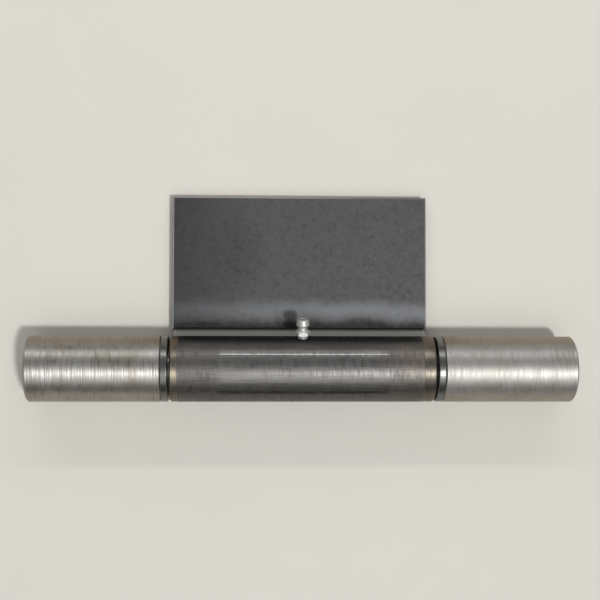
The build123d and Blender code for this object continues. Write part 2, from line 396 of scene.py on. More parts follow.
def plate_scale_material(colour, steel):
    """Hot-rolled plate with its mill scale on.

    The scale is a blue-grey skin with broad darker clouds, and a fine grit of
    pits and light specks that lies in patches. The sheared edges carry a painted
    highlight in pale steel. Beside the weld lies a painted paler highlight band,
    and at the weld's toe a dark band, partly oxide, partly painted shade.
    """
    material, add, place = begin_material("Hot-rolled scaled plate")
    axes = add("SeparateXYZ", {"Vector": place}).outputs
    low, high = WING_PLATE
    cloud = add("TexNoise", {"Vector": place, "Scale": 1 / (26 * MM), "Detail": 6.0, "Roughness": 0.6})
    fine = add("TexNoise", {"Vector": place, "Scale": 1 / (2.6 * MM), "Detail": 5.0, "Roughness": 0.7})
    grit = add("TexNoise", {"Vector": place, "Scale": 1 / (0.9 * MM), "Roughness": 0.6})
    # Where the grit lies, in patches of about 20 mm
    gritty = add("MapRange", {"Value": cloud, "From Min": 0.35, "From Max": 0.6, "To Min": 0.35})
    scaled = add("Mix", [cloud, rgba(colour, 0.8), rgba(colour, 1.2)], data_type="RGBA")
    # The large dark cloud left of the middle, 15 by 21 mm about (-30, 56) mm
    stain_place = add("Mapping", {
        "Vector": place, "Location": (30 / 15, -56 / 21, 0), "Scale": (1 / (15 * MM), 1 / (21 * MM), 0),
    })
    stain_reach = add("VectorMath", [stain_place], operation="LENGTH")
    stain = add("MapRange", {
        "Value": stain_reach, "From Min": 0.2, "From Max": 1.2, "To Min": 0.75, "To Max": 0.0,
    }, **EASED)
    stain_mottle = add("Math", [stain, fine], operation="MULTIPLY")
    stained = add("Mix", [stain_mottle, scaled, rgba(colour, 0.45)], data_type="RGBA")
    pit = add("MapRange", {"Value": fine, "From Min": 0.58, "From Max": 0.7, "To Max": 0.4})
    pitted = add("Mix", [pit, stained, rgba(colour, 0.3)], data_type="RGBA")
    speck = add("MapRange", {"Value": grit, "From Min": 0.6, "From Max": 0.74, "To Max": 0.25})
    speck_share = add("Math", [speck, gritty], operation="MULTIPLY")
    pitted = add("Mix", [speck_share, pitted, rgba(linear("#77776F"))], data_type="RGBA")
    # Painted shade, darker towards the left
    left_shade = add("MapRange", {
        "Value": axes["X"], "From Min": low[0], "From Max": low[0] + 45 * MM, "To Min": 0.9,
        "To Max": 0.0,
    }, **EASED)
    shaded = add("Mix", [left_shade, pitted, rgba(colour, 0.55)], data_type="RGBA")
    # Distance from the hinge line, made ragged so that the painted highlight band and the toe's dark
    # band wander
    wander = add("MapRange", {"Value": cloud, **MOST_NOISE, "To Min": -2 * MM, "To Max": 2 * MM})
    from_hinge = add("Math", [axes["Y"], wander], operation="ADD")
    # Painted highlight: a paler band beside the weld, stronger towards the right
    painted_glow = band(add, from_hinge, 28 * MM, 0.0, 7 * MM)
    glow_along = add("MapRange", {
        "Value": axes["X"], "From Min": low[0], "From Max": 15 * MM, "To Min": 0.1, "To Max": 0.32,
    })
    glow_share = add("Math", [painted_glow, glow_along], operation="MULTIPLY")
    glow_and_toe_band = add("Mix", [glow_share, shaded, rgba(linear("#A0A3A8"))], data_type="RGBA")
    # A dark band right beside the weld's toe: partly oxide from the welding, partly painted shade
    toe = add("MapRange", {
        "Value": from_hinge, "From Min": 20.0 * MM, "From Max": 24.5 * MM, "To Min": 0.66, "To Max": 0.0,
    }, **EASED)
    glow_and_toe_band = add("Mix", [toe, glow_and_toe_band, rgba(linear("#141312"))], data_type="RGBA")
    # Painted highlight along the outer edges, in pale steel, measured from the plate's own faces
    from_left = add("Math", [axes["X"], low[0]], operation="SUBTRACT")
    from_right = add("Math", [high[0], axes["X"]], operation="SUBTRACT")
    from_far = add("Math", [high[1], axes["Y"]], operation="SUBTRACT")
    from_side = add("Math", [from_left, from_right], operation="MINIMUM")
    from_edge = add("Math", [from_side, from_far], operation="MINIMUM")
    edge_highlight = add("MapRange", {
        "Value": from_edge, "From Min": 0.5 * MM, "From Max": 0.9 * MM, "To Min": 0.85, "To Max": 0.0,
    }, **EASED)
    # The painted edge highlight fades towards the right
    highlight_along = add("MapRange", {
        "Value": axes["X"], "From Min": -10 * MM, "From Max": 40 * MM, "To Min": 1.0, "To Max": 0.3,
    })
    edge_highlight = add("Math", [edge_highlight, highlight_along], operation="MULTIPLY")
    edge_highlighted = add("Mix", [edge_highlight, glow_and_toe_band, rgba(steel, 0.8)], data_type="RGBA")
    # The painted edge highlight, the toe's dark band, the pits, the dark cloud and the
    # painted shade at the left take their gloss from their own colour
    metallic = add("Math", [edge_highlight, toe], operation="MAXIMUM")
    cloud_metal = add("Math", [stain_mottle, left_shade], operation="ADD")
    cloud_metal = add("Math", [pit, cloud_metal], operation="ADD")
    cloud_metal = add("Math", [cloud_metal, 0.35], operation="MULTIPLY")
    metallic = add("Math", [metallic, cloud_metal], operation="MAXIMUM")
    roughness = add("MapRange", {"Value": fine, **MOST_NOISE, "To Min": 0.53, "To Max": 0.69})
    grain = add("Math", [grit, gritty], operation="MULTIPLY")
    height = add("Math", [fine, grain], operation="ADD")
    bump = add("Bump", {"Height": height, "Strength": 0.6, "Distance": 0.08 * MM})
    return finish_material(material, {
        "Base Color": edge_highlighted, "Metallic": metallic, "IOR": 1.7, "Roughness": roughness,
        "Normal": bump,
    })


def weld_metal_material(colour):
    """Mild steel laid down by gas-shielded welding.

    A thin oxide film makes it a dull greenish grey, with a satin gloss on the
    frozen ripples.
    """
    material, add, place = begin_material("Gas-shielded weld metal")
    cloud = add("TexNoise", {"Vector": place, "Scale": 1 / (7 * MM), "Detail": 4.0, "Roughness": 0.6})
    grain = add("TexNoise", {"Vector": place, "Scale": 1 / (1.2 * MM), "Detail": 3.0, "Roughness": 0.6})
    tone = add("Mix", [cloud, rgba(colour, 0.85), rgba(colour, 1.1)], data_type="RGBA")
    # Darker bands along both of the bead's edges, by distance from the hinge line: partly soot film,
    # partly painted shade where the bead meets the barrel and the plate
    across = add("VectorMath", [place, (0, 1, 1)], operation="MULTIPLY")
    reach = add("VectorMath", [across], operation="LENGTH")
    crown_film_and_shade = add("MapRange", {
        "Value": reach, "From Min": BARREL_RADIUS, "From Max": BARREL_RADIUS + 0.4 * MM, "To Min": 0.5,
        "To Max": 0.0,
    }, **EASED)
    toe_film_and_shade = add("MapRange", {
        "Value": reach, "From Min": BARREL_RADIUS + 2.1 * MM, "From Max": BARREL_RADIUS + 5.5 * MM,
        "To Max": 0.84,
    }, **EASED)
    film = add("Math", [crown_film_and_shade, toe_film_and_shade], operation="MAXIMUM")
    joint_darkened = add("Mix", [film, tone, rgba(colour, 0.04)], data_type="RGBA")
    # The dark edges take their gloss from their own dark colour
    metallic = add("MapRange", {"Value": film, "To Min": 0.25})
    gloss = add("MapRange", {"Value": grain, "To Min": 0.28, "To Max": 0.56})
    bump = add("Bump", {"Height": grain, "Strength": 0.4, "Distance": 0.05 * MM})
    return finish_material(material, {
        "Base Color": joint_darkened, "Metallic": metallic, "Roughness": gloss, "Normal": bump,
    })


def zinc_material(colour):
    """Steel with bright electroplated zinc, almost white, with a soft gloss."""
    material, add, place = begin_material("Bright zinc-plated steel")
    grain = add("TexNoise", {"Vector": place, "Scale": 1 / (0.9 * MM), "Detail": 4.0, "Roughness": 0.6})
    tone = add("Mix", [grain, rgba(colour), rgba(colour, 0.8)], data_type="RGBA")
    gloss = add("MapRange", {"Value": grain, "To Min": 0.44, "To Max": 0.58})
    bump = add("Bump", {"Height": grain, "Strength": 0.2, "Distance": 0.02 * MM})
    return finish_material(material, {
        "Base Color": tone, "Metallic": 0.7, "Roughness": gloss, "Normal": bump,
    })


def spring_steel_material():
    """Drawn spring wire, dark and smooth, with fine die lines."""
    material, add, place = begin_material("Drawn spring wire")
    grain = add("TexNoise", {"Vector": place, "Scale": 1 / (0.3 * MM), "Detail": 3.0})
    tone = add("Mix", [grain, rgba(linear("#8E8F92")), rgba(linear("#6C6D70"))], data_type="RGBA")
    gloss = add("MapRange", {"Value": grain, "To Min": 0.2, "To Max": 0.38})
    return finish_material(material, {"Base Color": tone, "Metallic": 1.0, "Roughness": gloss})


def floor_material(colour):
    """Matt painted board, pale and plain, with a barely uneven coat."""
    material, add, place = begin_material("Matt painted board")
    cloud = add("TexNoise", {"Vector": place, "Scale": 1 / (60 * MM), "Detail": 3.0})
    tone = add("Mix", [cloud, rgba(colour), rgba(colour, 0.96)], data_type="RGBA")
    return finish_material(material, {"Base Color": tone, "Roughness": 0.7})


# ---- meshes

SAME_PLACE = 0.0002 * MM
# A rounding takes at most this share of a side, and its sides are held true this
# many times further out
SIDE_SHARE = 0.3
HELD_AT = 1.6


def finish_piece(name, mesh, materials, body, nodes, sharp=35):
    """Links a mesh as a piece that rides on a body and stands for CAD nodes."""
    tidy = bmesh.new()
    tidy.from_mesh(mesh)
    bmesh.ops.remove_doubles(tidy, verts=tidy.verts, dist=SAME_PLACE)
    bmesh.ops.recalc_face_normals(tidy, faces=tidy.faces)
    for face in tidy.faces:
        face.smooth = True
    tidy.to_mesh(mesh)
    tidy.free()
    mesh.set_sharp_from_angle(angle=radians(sharp))
    if not mesh.polygons:
        raise RuntimeError(f"{name} has no faces")
    piece = bpy.data.objects.new(name, mesh)
    bpy.context.scene.collection.objects.link(piece)
    for material in materials:
        mesh.materials.append(material)
    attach(piece, body)
    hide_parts(*nodes)
    return piece


def closed_mesh(name, verts, faces):
    """A mesh with every face turned outwards."""
    mesh = bpy.data.meshes.new(name)
    mesh.from_pydata(verts, [], faces)
    outwards = bmesh.new()
    outwards.from_mesh(mesh)
    bmesh.ops.recalc_face_normals(outwards, faces=outwards.faces)
    outwards.to_mesh(mesh)
    outwards.free()
    return mesh


def softened(outline, radius, steps=3):
    """A closed outline with its corners rounded.

    A point just outside each rounding keeps the long sides flat and true.
    """
    soft = []
    for i, point in enumerate(outline):
        here = Vector(point)
        before = Vector(outline[i - 1]) - here
        after = Vector(outline[(i + 1) % len(outline)]) - here
        if here.y == 0:
            soft.append(tuple(here))
            continue
        reach = min(radius, SIDE_SHARE * before.length, SIDE_SHARE * after.length)
        start = here + before.normalized() * reach
        end = here + after.normalized() * reach
        soft.append(tuple(here + before.normalized() * reach * HELD_AT))
        for step in range(steps + 1):
            t = step / steps
            soft.append(tuple(start.lerp(here, t).lerp(here.lerp(end, t), t)))
        soft.append(tuple(here + after.normalized() * reach * HELD_AT))
    return soft


def turned_mesh(name, outline, segments=192):
    """A mesh turned about the hinge line from a closed outline of (x, radius)."""
    verts, rings = [], []
    for x, radius in outline:
        count = 1 if radius == 0 else segments
        rings.append(range(len(verts), len(verts) + count))
        for step in range(count):
            angle = math.tau * step / segments
            verts.append((x, radius * math.cos(angle), radius * math.sin(angle)))
    faces = []
    for here, there in zip(rings, rings[1:] + rings[:1]):
        for step in range(segments):
            corners = [here[step % len(here)], here[(step + 1) % len(here)]]
            corners += [there[(step + 1) % len(there)], there[step % len(there)]]
            face = list(dict.fromkeys(corners))
            if len(face) > 2:
                faces.append(face)
    return closed_mesh(name, verts, faces)


def faces_between(here, there, count):
    """The faces between two rings of points, from the number of each one's first."""
    for step in range(count):
        turn = (step + 1) % count
        yield here + step, here + turn, there + turn, there + step


def nipple_ring(height, radius_at, segments):
    """A ring round the nipple's axis, with a radius that may differ with the angle."""
    ring = []
    for step in range(segments):
        angle = math.tau * step / segments
        radius = radius_at(angle)
        point = Vector((radius * math.cos(angle), radius * math.sin(angle), height))
        ring.append(NIPPLE_PLACE @ point)
    return ring


def looped_mesh(name, rings):
    """A closed mesh through rings of as many points each, the last joined to the first."""
    count = len(rings[0])
    verts = [point for ring in rings for point in ring]
    faces = []
    for row in range(len(rings)):
        faces += faces_between(row * count, (row + 1) % len(rings) * count, count)
    return closed_mesh(name, verts, faces)


def swept_mesh(name, rings):
    """A closed mesh through rings of as many points each, with flat ends."""
    count = len(rings[0])
    verts = [point for ring in rings for point in ring]
    faces = [list(range(count))[::-1], list(range(len(verts) - count, len(verts)))]
    for row in range(len(rings) - 1):
        faces += faces_between(row * count, (row + 1) * count, count)
    return closed_mesh(name, verts, faces)


# ---- barrels, pin, washers

BARREL_BEVEL = 0.8 * MM
BORE_BEVEL = 0.6 * MM
PIN_BEVEL = 1.0 * MM
WASHER_BEVEL = 0.35 * MM
WASHER_CLEARANCE = 0.1 * MM


def outer_barrel_outline(box):
    """The (x, radius) outline of an outer barrel that fills the box."""
    low, high = box[0][0], box[1][0]
    outwards = 1 if high > 0 else -1
    inner, outer = (low, high) if outwards > 0 else (high, low)
    return [
        (inner, PIN_RADIUS + BORE_BEVEL),
        (inner, BARREL_RADIUS - BARREL_BEVEL / 2),
        (inner + outwards * BARREL_BEVEL / 2, BARREL_RADIUS),
        (outer - outwards * BARREL_BEVEL, BARREL_RADIUS),
        (outer, BARREL_RADIUS - BARREL_BEVEL),
        (outer, PIN_RADIUS + BORE_BEVEL),
        (outer - outwards * BORE_BEVEL, PIN_RADIUS),
        (inner + outwards * BORE_BEVEL, PIN_RADIUS),
    ]


def bevelled_outline(low, high, bore, radius, bevel):
    """The (x, radius) outline of a round bar or ring with both rims bevelled."""
    return [
        (low, bore),
        (low, radius - bevel),
        (low + bevel, radius),
        (high - bevel, radius),
        (high, radius - bevel),
        (high, bore),
    ]


class HINGE_OT_outer_barrels(bpy.types.Operator):
    """Build the two fixed outer barrels"""

    bl_idname = "hinge.outer_barrels"
    bl_label = "Outer Barrels"

    def execute(self, context):
        sizes, colours = chosen(context)
        coarse = turned_steel_material(
            "Coarse-turned mild steel", colours.turned_steel, flank_reflection="#968D7D", rust=colours.rust,
            feed=1.4 * MM, blotch=0.75, soiling=0.6, gloss=0.45, ringing=0.5, cut=0.4 * MM,
        )
        fine = turned_steel_material(
            "Fine-turned mild steel", colours.turned_steel, flank_reflection="#9C9383", rust=colours.rust,
            feed=1.3 * MM, blotch=0.45, soiling=0.2, gloss=0.5, ringing=0.3, cut=0.34 * MM,
        )
        for side, box, material in (("left", LEFT_BARREL, coarse), ("right", RIGHT_BARREL, fine)):
            name = f"{side}_turned_barrel"
            outline = softened(outer_barrel_outline(box), sizes.turned_edge)
            mesh = turned_mesh(name, outline)
            node = f"{side}_barrel"
            finish_piece(name, mesh, [material], "fixed_barrels", [node])
        return {"FINISHED"}


class HINGE_OT_pin(bpy.types.Operator):
    """Build the hinge pin"""

    bl_idname = "hinge.pin"
    bl_label = "Hinge Pin"

    def execute(self, context):
        sizes, colours = chosen(context)
        outline = bevelled_outline(HINGE_PIN[0][0], HINGE_PIN[1][0], 0.0, PIN_RADIUS, PIN_BEVEL)
        mesh = turned_mesh("ground_pin", softened(outline, sizes.turned_edge))
        material = ground_steel_material(colours.ground_steel)
        finish_piece("ground_pin", mesh, [material], "fixed_barrels", ["hinge_pin"])
        return {"FINISHED"}


class HINGE_OT_washers(bpy.types.Operator):
    """Build the two loose thrust washers"""

    bl_idname = "hinge.washers"
    bl_label = "Thrust Washers"

    def execute(self, context):
        sizes, colours = chosen(context)
        material = polished_steel_material(colours.polished_steel)
        bore = PIN_RADIUS + WASHER_CLEARANCE
        for side, (low, high) in (("left", LEFT_WASHER), ("right", RIGHT_WASHER)):
            outline = bevelled_outline(low[0], high[0], bore, high[2], WASHER_BEVEL)
            name = f"{side}_polished_washer"
            mesh = turned_mesh(name, softened(outline, sizes.turned_edge))
            node = f"{side}_thrust_washer"
            body = f"{side}_washer"
            finish_piece(name, mesh, [material], body, [node])
        return {"FINISHED"}


# ---- grease nipple

# The nipple leans from straight up towards the wing. Heights are from the hinge line
NIPPLE_PLACE = Matrix.Rotation(-radians(73.0), 4, "X")
NIPPLE_SEGMENTS = 96
SHANK_END = BARREL_RADIUS - 3.2 * MM
SHANK_END_RADIUS = 2.1 * MM
THREAD_RADIUS = 2.55 * MM
THREAD_STEP = 0.08 * MM
THREAD_LEAD_IN, THREAD_RUN_OUT = 0.5 * MM, 0.7 * MM
HEX_BASE = BARREL_RADIUS + 1.4 * MM
HEX_TOP = HEX_BASE + 2.5 * MM
HEX_FLAT = 3.5 * MM
HEX_CORNER = HEX_FLAT / math.cos(radians(30))
SEAT_RADIUS, SEAT_RISE = 3.7 * MM, 0.2 * MM
SHOULDER_RADIUS, SHOULDER_DROP = 2.9 * MM, 1.2 * MM
BEVEL_STEPS = 10
NIPPLE_TIP = HEX_TOP + 5.2 * MM
CHAMBER_FLOOR = NIPPLE_TIP - 7.6 * MM
CHAMBER_RADIUS = 1.29 * MM
PASSAGE_RADIUS = 0.7 * MM

# The neck, the head, its dished mouth, the throat and the chamber's top, as the
# rise from the hexagon's top and the radius, both in mm
NIPPLE_HEAD = (
    (0.0, 2.86), (0.0, 2.45), (0.06, 2.34), (0.16, 2.3), (1.3, 2.3), (1.42, 2.34), (2.16, 3.12),
    (2.28, 3.21), (2.4, 3.25), (2.6, 3.25), (2.74, 3.23), (4.9, 2.89), (5.06, 2.82), (5.15, 2.72),
    (5.19, 2.62), (5.2, 2.52), (5.2, 1.72), (5.18, 1.62), (5.12, 1.55), (4.82, 1.1), (4.75, 1.0),
    (4.6, 1.1), (4.46, 1.29),
)

# The spring between the check ball and the chamber's floor
WIRE_RADIUS = 0.18 * MM
WIRE_SIDES = 12
COIL_RADIUS = 0.85 * MM
COILS = 4
COIL_STEPS = 32
SPRING_FOOT = CHAMBER_FLOOR + 0.23 * MM
SPRING_HEIGHT = 5.04 * MM


def plain(radius):
    """The same radius at every angle."""
    return lambda angle: radius


def hexagon(limit):
    """The hexagon's radius at each angle, cut down to a limit."""

    def radius(angle):
        turn = angle % radians(60) - radians(30)
        return min(HEX_FLAT / math.cos(turn), limit)

    return radius


def screw(height, pitch, depth):
    """A screw thread's radius at each angle, at a height on the shank."""
    fade = min(1.0, (HEX_BASE - height) / THREAD_RUN_OUT, (height - SHANK_END) / THREAD_LEAD_IN)

    def radius(angle):
        turn = (height / pitch - angle / math.tau) % 1.0
        # The crest and the foot are each flat for a tenth of the pitch
        groove = max(0.0, 1.25 * (1 - abs(2 * turn - 1)) - 0.125)
        return THREAD_RADIUS - max(0.0, fade) * depth * min(1.0, groove)

    return radius


def nipple_rings(sizes):
    """The nipple's rings from the shank's end up to the tip, then down inside."""
    rows = [(SHANK_END, plain(PASSAGE_RADIUS)), (SHANK_END, plain(SHANK_END_RADIUS))]
    height = SHANK_END
    while height < HEX_BASE:
        rows.append((height, screw(height, sizes.thread_pitch, sizes.thread_depth)))
        height += THREAD_STEP
    rows.append((HEX_BASE - 0.01 * MM, plain(THREAD_RADIUS)))
    rows.append((HEX_BASE, plain(SHOULDER_RADIUS)))
    for step in range(BEVEL_STEPS + 1):
        rise = step / BEVEL_STEPS
        limit = SEAT_RADIUS + rise * (HEX_CORNER - SEAT_RADIUS)
        rows.append((HEX_BASE + rise * SEAT_RISE, hexagon(limit)))
    for step in range(BEVEL_STEPS + 1):
        fall = 1 - step / BEVEL_STEPS
        limit = SHOULDER_RADIUS + fall * (HEX_CORNER - SHOULDER_RADIUS)
        rows.append((HEX_TOP - fall * SHOULDER_DROP, hexagon(limit)))
    rows += [(HEX_TOP + rise * MM, plain(radius * MM)) for rise, radius in NIPPLE_HEAD]
    rows.append((CHAMBER_FLOOR, plain(CHAMBER_RADIUS)))
    rows.append((CHAMBER_FLOOR, plain(PASSAGE_RADIUS)))
    return [nipple_ring(height, radius_at, NIPPLE_SEGMENTS) for height, radius_at in rows]


def spring_rings():
    """Rings of points round the spring's wire, along its coils from the foot up."""
    climb = SPRING_HEIGHT / (COILS * math.tau)
    rings = []
    for step in range(COILS * COIL_STEPS + 1):
        turn = math.tau * step / COIL_STEPS
        outward = Vector((math.cos(turn), math.sin(turn), 0))
        along = Vector((-math.sin(turn), math.cos(turn), climb / COIL_RADIUS)).normalized()
        centre = outward * COIL_RADIUS + Vector((0, 0, SPRING_FOOT + climb * turn))
        ring = []
        for side in range(WIRE_SIDES):
            angle = math.tau * side / WIRE_SIDES
            reach = outward * math.cos(angle) + along.cross(outward) * math.sin(angle)
            ring.append(NIPPLE_PLACE @ (centre + reach * WIRE_RADIUS))
        rings.append(ring)
    return rings


class HINGE_OT_grease_nipple(bpy.types.Operator):
    """Build the grease nipple and its spring, and finish its check ball"""

    bl_idname = "hinge.grease_nipple"
    bl_label = "Grease Nipple"

    def execute(self, context):
        sizes, colours = chosen(context)
        mesh = looped_mesh("plated_nipple", nipple_rings(sizes))
        material = zinc_material(colours.zinc)
        finish_piece("plated_nipple", mesh, [material], "wing", ["nipple_body"], 28)
        mesh = swept_mesh("coil_spring", spring_rings())
        material = spring_steel_material()
        spring = finish_piece("coil_spring", mesh, [material], "wing", ["nipple_spring"])
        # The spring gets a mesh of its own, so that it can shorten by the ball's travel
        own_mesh(spring)
        ball_finish = polished_steel_material(colours.polished_steel)
        for slot in frame["nodes"]["nipple_ball"].material_slots:
            slot.material = ball_finish
        return {"FINISHED"}


# ---- centre barrel

CENTRE_CLEARANCE = 0.08 * MM
TURNED_DEPTH = 0.1 * MM
LEFT_BAND = CENTRE_BARREL[0][0] + 3.8 * MM
RIGHT_BAND = CENTRE_BARREL[1][0] - 5.9 * MM
SPOTFACE_RADIUS, SPOTFACE_DEPTH = 3.4 * MM, 0.3 * MM
GREASE_HOLE_RADIUS = 1.5 * MM
TAPPED_PAST_SHANK = 0.5 * MM
HOLE_SEGMENTS = 64
HOLE_POINTS, HOLE_POINT_STEP = 10, 0.8 * MM


def nipple_hole_cutter():
    """A solid that cuts the tapped hole, its spotface and the grease hole."""
    face = BARREL_RADIUS - SPOTFACE_DEPTH
    bottom = SHANK_END - TAPPED_PAST_SHANK
    rows = [
        (0.0, GREASE_HOLE_RADIUS),
        (bottom, GREASE_HOLE_RADIUS),
        (bottom, THREAD_RADIUS),
        (face, THREAD_RADIUS),
        (face, SPOTFACE_RADIUS),
        (HEX_BASE, SPOTFACE_RADIUS),
    ]
    rings = [nipple_ring(height, plain(radius), HOLE_SEGMENTS) for height, radius in rows]
    cutter = bpy.data.objects.new("nipple_hole_cutter", swept_mesh("nipple_hole_cutter", rings))
    bpy.context.scene.collection.objects.link(cutter)
    return cutter


def cut_mesh(mesh, cutter):
    """The mesh with the cutter's solid taken away."""
    holder = bpy.data.objects.new("cutting", mesh)
    bpy.context.scene.collection.objects.link(holder)
    modifier = holder.modifiers.new("Cut", "BOOLEAN")
    modifier.operation = "DIFFERENCE"
    modifier.solver = "EXACT"
    modifier.object = cutter
    bpy.context.view_layer.update()
    ready = holder.evaluated_get(bpy.context.evaluated_depsgraph_get())
    result = bpy.data.meshes.new_from_object(ready)
    for used in (holder, cutter):
        data = used.data
        bpy.data.objects.remove(used)
        bpy.data.meshes.remove(data)
    return result


def centre_barrel_outline(sizes):
    """The (x, radius) outline, with more points where the nipple stands."""
    low, high = CENTRE_BARREL[0][0], CENTRE_BARREL[1][0]
    bore = PIN_RADIUS + CENTRE_CLEARANCE
    bright = BARREL_RADIUS - TURNED_DEPTH
    corners = [
        (low, bore + BORE_BEVEL),
        (low, bright - BARREL_BEVEL),
        (low + BARREL_BEVEL, bright),
        (LEFT_BAND, bright),
        (LEFT_BAND + TURNED_DEPTH, BARREL_RADIUS),
        (RIGHT_BAND - TURNED_DEPTH, BARREL_RADIUS),
        (RIGHT_BAND, bright),
        (high - BARREL_BEVEL, bright),
        (high, bright - BARREL_BEVEL),
        (high, bore + BORE_BEVEL),
        (high - BORE_BEVEL, bore),
        (low + BORE_BEVEL, bore),
    ]
    ends = softened(corners, sizes.turned_edge)
    outline = []
    for here, there in zip(ends, ends[1:] + ends[:1]):
        outline.append(here)
        if min(here[0], there[0]) < 0 < max(here[0], there[0]):
            towards = 1 if there[0] > here[0] else -1
            for step in range(-HOLE_POINTS, HOLE_POINTS + 1):
                outline.append((towards * step * HOLE_POINT_STEP, here[1]))
    return outline


class HINGE_OT_centre_barrel(bpy.types.Operator):
    """Build the turning centre barrel with its tapped hole"""

    bl_idname = "hinge.centre_barrel"
    bl_label = "Centre Barrel"

    def execute(self, context):
        sizes, colours = chosen(context)
        mesh = turned_mesh("scaled_centre_barrel", centre_barrel_outline(sizes))
        mesh = cut_mesh(mesh, nipple_hole_cutter())
        scale = tube_scale_material(colours.tube_scale, colours.rust)
        bright = turned_steel_material(
            "Bright-turned tube end", colours.tube_end, flank_reflection="#5A544C", rust=colours.rust,
            feed=0.6 * MM, blotch=0.9, soiling=0.7, gloss=0.42, ringing=0.4, cut=0.15 * MM,
        )
        name = "scaled_centre_barrel"
        piece = finish_piece(name, mesh, [scale, bright], "wing", ["centre_barrel"])
        # The turned bands end half-way up the step to the scaled skin
        for face in piece.data.polygons:
            if not LEFT_BAND + TURNED_DEPTH / 2 < face.center.x < RIGHT_BAND - TURNED_DEPTH / 2:
                face.material_index = 1
        return {"FINISHED"}


# ---- wing plate

PLATE_CUT_STEP = 2.5 * MM
EDGE_WAVE = 9 * MM


class HINGE_OT_wing_plate(bpy.types.Operator):
    """Build the wing plate with its broken, slightly uneven edges"""

    bl_idname = "hinge.wing_plate"
    bl_label = "Wing Plate"

    def execute(self, context):
        sizes, colours = chosen(context)
        low, high = Vector(WING_PLATE[0]), Vector(WING_PLATE[1])
        middle, span = (low + high) / 2, high - low
        plate = bmesh.new()
        bmesh.ops.create_cube(plate, size=1.0)
        bmesh.ops.scale(plate, vec=span, verts=plate.verts)
        bmesh.ops.translate(plate, vec=middle, verts=plate.verts)
        bmesh.ops.bevel(
            plate, geom=list(plate.edges), offset=sizes.plate_edge, segments=4, profile=0.5,
            affect="EDGES",
        )
        # Cuts across the plate, so that its edges can bend
        for axis in (0, 1):
            normal = [0, 0, 0]
            normal[axis] = 1
            cuts = [low[axis] + sizes.plate_edge * 1.6, high[axis] - sizes.plate_edge * 1.6]
            count = int(span[axis] / PLATE_CUT_STEP)
            cuts += [low[axis] + span[axis] * i / count for i in range(1, count)]
            for cut in cuts:
                spot = list(middle)
                spot[axis] = cut
                everything = plate.verts[:] + plate.edges[:] + plate.faces[:]
                bmesh.ops.bisect_plane(plate, geom=everything, dist=1e-8, plane_co=spot, plane_no=normal)
        for vert in plate.verts:
            inwards = Vector((0, 0, 0))
            for axis in (0, 1):
                from_low = vert.co[axis] - low[axis]
                from_high = high[axis] - vert.co[axis]
                along = vert.co[1 - axis] / EDGE_WAVE
                for near, way, seed in ((from_low, 1, 3.1), (from_high, -1, 8.7)):
                    if near < sizes.plate_edge * 1.1:
                        swell = 0.5 + 0.5 * noise.noise((along, seed + axis, 0.4))
                        inwards[axis] += way * swell * sizes.plate_wander
            vert.co += inwards
        mesh = bpy.data.meshes.new("scaled_wing_plate")
        plate.to_mesh(mesh)
        plate.free()
        material = plate_scale_material(colours.plate_scale, colours.turned_steel)
        finish_piece("scaled_wing_plate", mesh, [material], "wing", ["wing_plate"])
        return {"FINISHED"}


# ---- weld beads

PLATE_TOP = WING_PLATE[1][2]
PLATE_INNER = WING_PLATE[0][1]
RING_STEP = 0.4 * MM
BEAD_END = 1.6 * MM
BEAD_SUNK = BARREL_RADIUS - 0.15 * MM
INTO_PLATE, ALONG_PLATE = 0.05 * MM, 0.1 * MM
UPPER_LEG, LEG_WANDER, LEG_WAVE, UPPER_BULGE = 6.9 * MM, 0.12 * MM, 11 * MM, 0.68 * MM
LOWER_TOE, LOWER_FOOT, LOWER_DIP = radians(-62), 0.85 * MM, 0.35 * MM
ROOT_ANGLE = math.asin(PLATE_TOP / BARREL_RADIUS)


def on_barrel(angle, radius):
    """The point (y, z) at an angle from +Y on a circle about the hinge line."""
    return Vector((radius * math.cos(angle), radius * math.sin(angle)))


def sunk_arc(start, end):
    """Points just inside the barrel's side, from one angle to another."""
    return [on_barrel(start + (end - start) * i / 8, BEAD_SUNK) for i in range(9)]


def bead_face(sizes, x, toe, crown, steps, bulge):
    """Points across a bead's rippled face, from its toe to its crown."""
    across = (crown - toe).normalized()
    outwards = Vector((across.y, -across.x))
    points = []
    for i in range(steps + 1):
        share = i / steps
        off = 2 * share - 1
        ripple = math.cos(math.tau * (x / sizes.weld_ripple_pitch + 0.5 * off**2)) * (1 - off**4)
        lift = bulge * (1 - off**2) + sizes.weld_ripple * ripple
        points.append(toe.lerp(crown, share) + outwards * lift)
    return points


def upper_section(sizes, x, fullness):
    """The fillet on the plate's top, against the barrel's side."""
    wander = noise.noise((x / LEG_WAVE, 2.0, 0.0)) * LEG_WANDER
    leg = (UPPER_LEG - LEG_WANDER + wander) * fullness
    toe = Vector((PLATE_INNER + leg, PLATE_TOP))
    crown_angle = math.asin((PLATE_TOP + leg) / BARREL_RADIUS)
    crown = on_barrel(crown_angle, BARREL_RADIUS)
    under = Vector((toe.x - ALONG_PLATE, PLATE_TOP - INTO_PLATE))
    face = bead_face(sizes, x, toe, crown, 18, UPPER_BULGE * fullness)
    return [under] + face + sunk_arc(crown_angle, ROOT_ANGLE)


def lower_section(sizes, x, fullness):
    """The fill in the groove between the barrel and the plate's inner edge."""
    toe_angle = ROOT_ANGLE + (LOWER_TOE - ROOT_ANGLE) * fullness
    toe = on_barrel(toe_angle, BARREL_RADIUS)
    drop = (PLATE_TOP - WING_PLATE[0][2] - LOWER_FOOT) * fullness
    plate_toe = Vector((PLATE_INNER, PLATE_TOP - drop))
    face = bead_face(sizes, x, toe, plate_toe, 12, -LOWER_DIP * fullness)
    top = [
        Vector((PLATE_INNER + INTO_PLATE, PLATE_TOP - drop + ALONG_PLATE)),
        Vector((PLATE_INNER + INTO_PLATE, PLATE_TOP - ALONG_PLATE)),
    ]
    return face + top + sunk_arc(ROOT_ANGLE, toe_angle)


